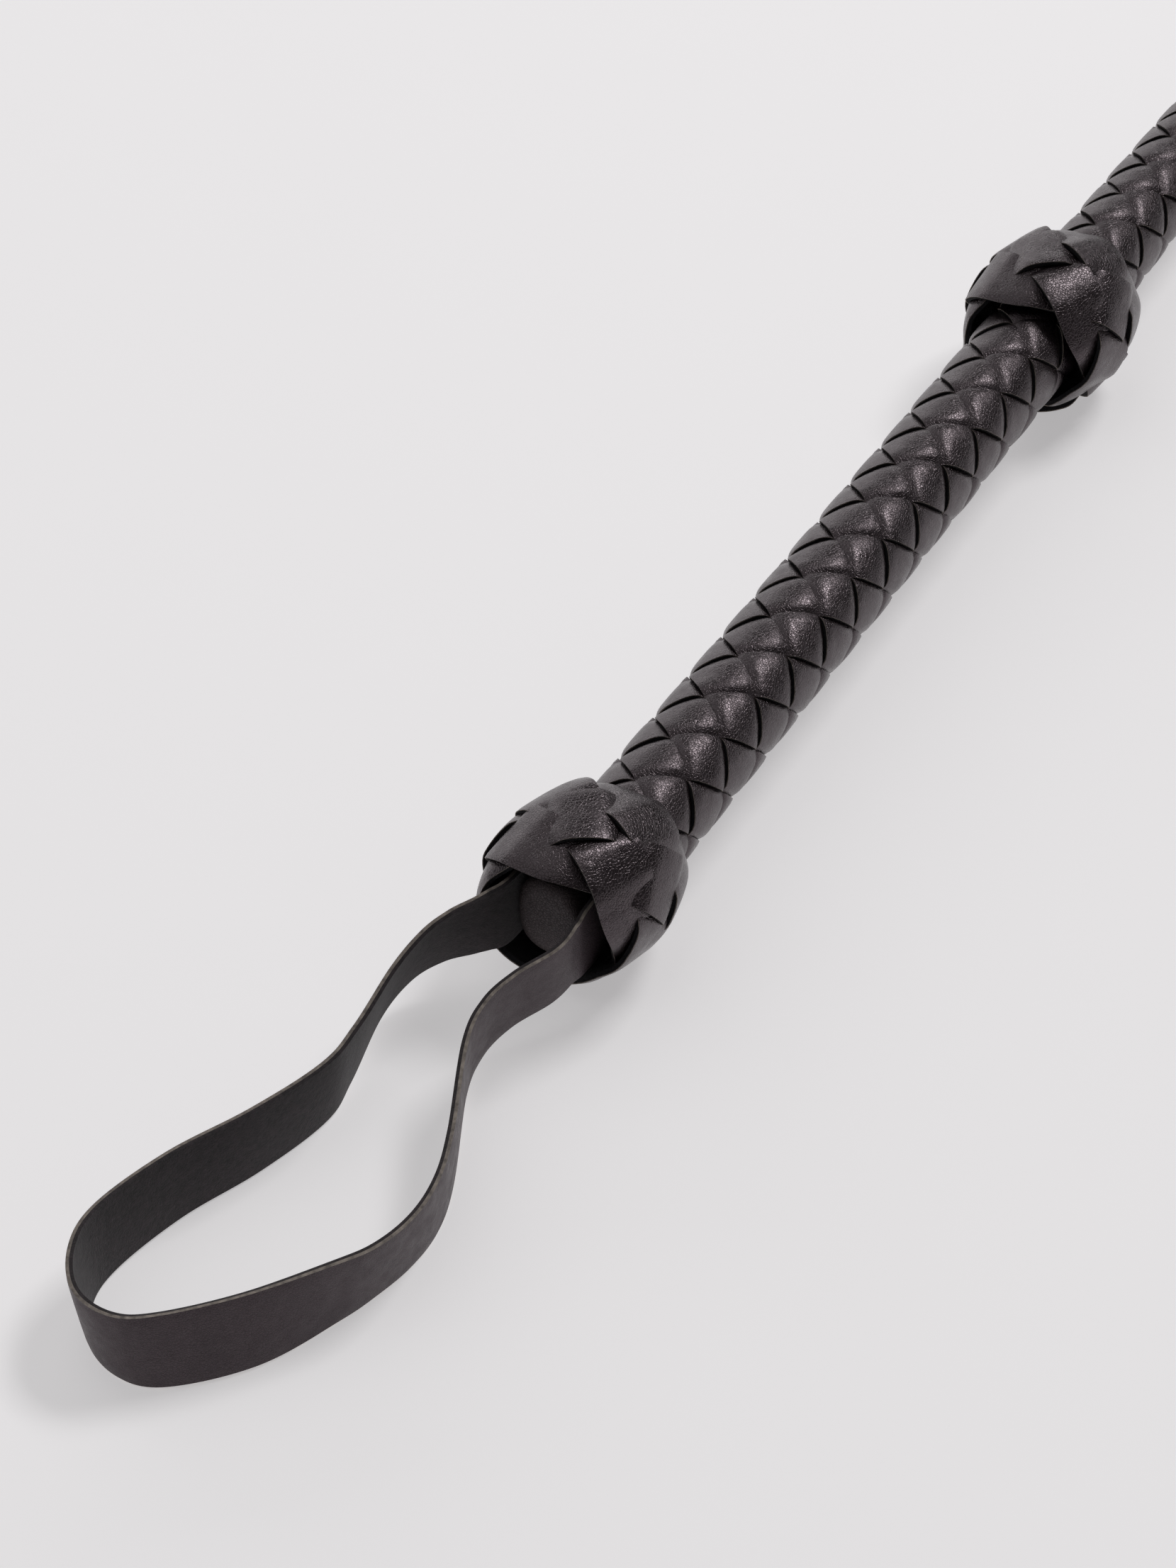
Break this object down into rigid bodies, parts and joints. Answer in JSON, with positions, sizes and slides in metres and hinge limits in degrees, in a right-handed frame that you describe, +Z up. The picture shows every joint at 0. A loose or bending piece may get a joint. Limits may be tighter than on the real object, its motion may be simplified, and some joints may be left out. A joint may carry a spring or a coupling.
{
  "type": "riding crop",
  "caption": "Riding crop lying flat: black braided leather handle and tapering shaft, Turk's-head knots at the butt and before the shaft, open wrist loop, folded leather keeper at the tip.",
  "frame": {"origin": "centre of the crop's bounding box in plan, at the surface it lies on", "axes": "+X along the crop from the wrist loop to the keeper, +Y sideways, +Z up from the surface"},
  "size_m": [0.7554, 0.0512, 0.0335],
  "materials": {
    "braid_leather": "semi-gloss, fine pebble grain",
    "knot_leather": "semi-gloss, fine pebble grain",
    "strap_leather": "satin outer face, fuzzy inner face",
    "keeper_leather": "satin",
    "thread": "waxed thread",
    "grip_build_up": "matte",
    "rod": "satin glass-fibre rod",
    "plug_wood": "bare turned wood",
    "tack_steel": "satin"
  },
  "bodies": {
    "crop": {"core_rod": "rod", "handle_sleeve": "grip_build_up", "shaft_filler": "grip_build_up", "handle_strand_1": "braid_leather", "handle_strand_2": "braid_leather", "handle_strand_3": "braid_leather", "handle_strand_4": "braid_leather", "handle_strand_5": "braid_leather", "handle_strand_6": "braid_leather", "handle_strand_7": "braid_leather", "handle_strand_8": "braid_leather", "shaft_plait": "braid_leather", "butt_whipping": "thread", "butt_knot_core": "grip_build_up", "butt_knot_strand": "knot_leather", "ring_knot_core": "grip_build_up", "ring_knot_strand": "knot_leather", "butt_plug": "plug_wood", "end_cap": "knot_leather", "loop_tail_left": "strap_leather", "loop_tail_right": "strap_leather", "loop_tack_left": "tack_steel", "loop_tack_right": "tack_steel", "tip_whipping": "thread", "tip_collar": "knot_leather", "keeper_tongue": "strap_leather"},
    "loop": {"wrist_loop": "strap_leather"},
    "keeper_flap": {"keeper": "keeper_leather", "keeper_stitching_left": "thread", "keeper_stitching_right": "thread"}
  },
  "joints": [
    {"name": "loop_hinge", "type": "hinge", "parent": "crop", "child": "loop", "pos_m": [-0.28381, -0.00711, 0.01292], "axis": [0, 1, 0], "range_deg": [-80, 80]},
    {"name": "keeper_flex", "type": "hinge", "parent": "crop", "child": "keeper_flap", "pos_m": [0.29969, -0.00881, 0.00701], "axis": [0, 1, 0], "range_deg": [-60, 60], "stiffness_Nm_per_rad": 0.05}
  ]
}
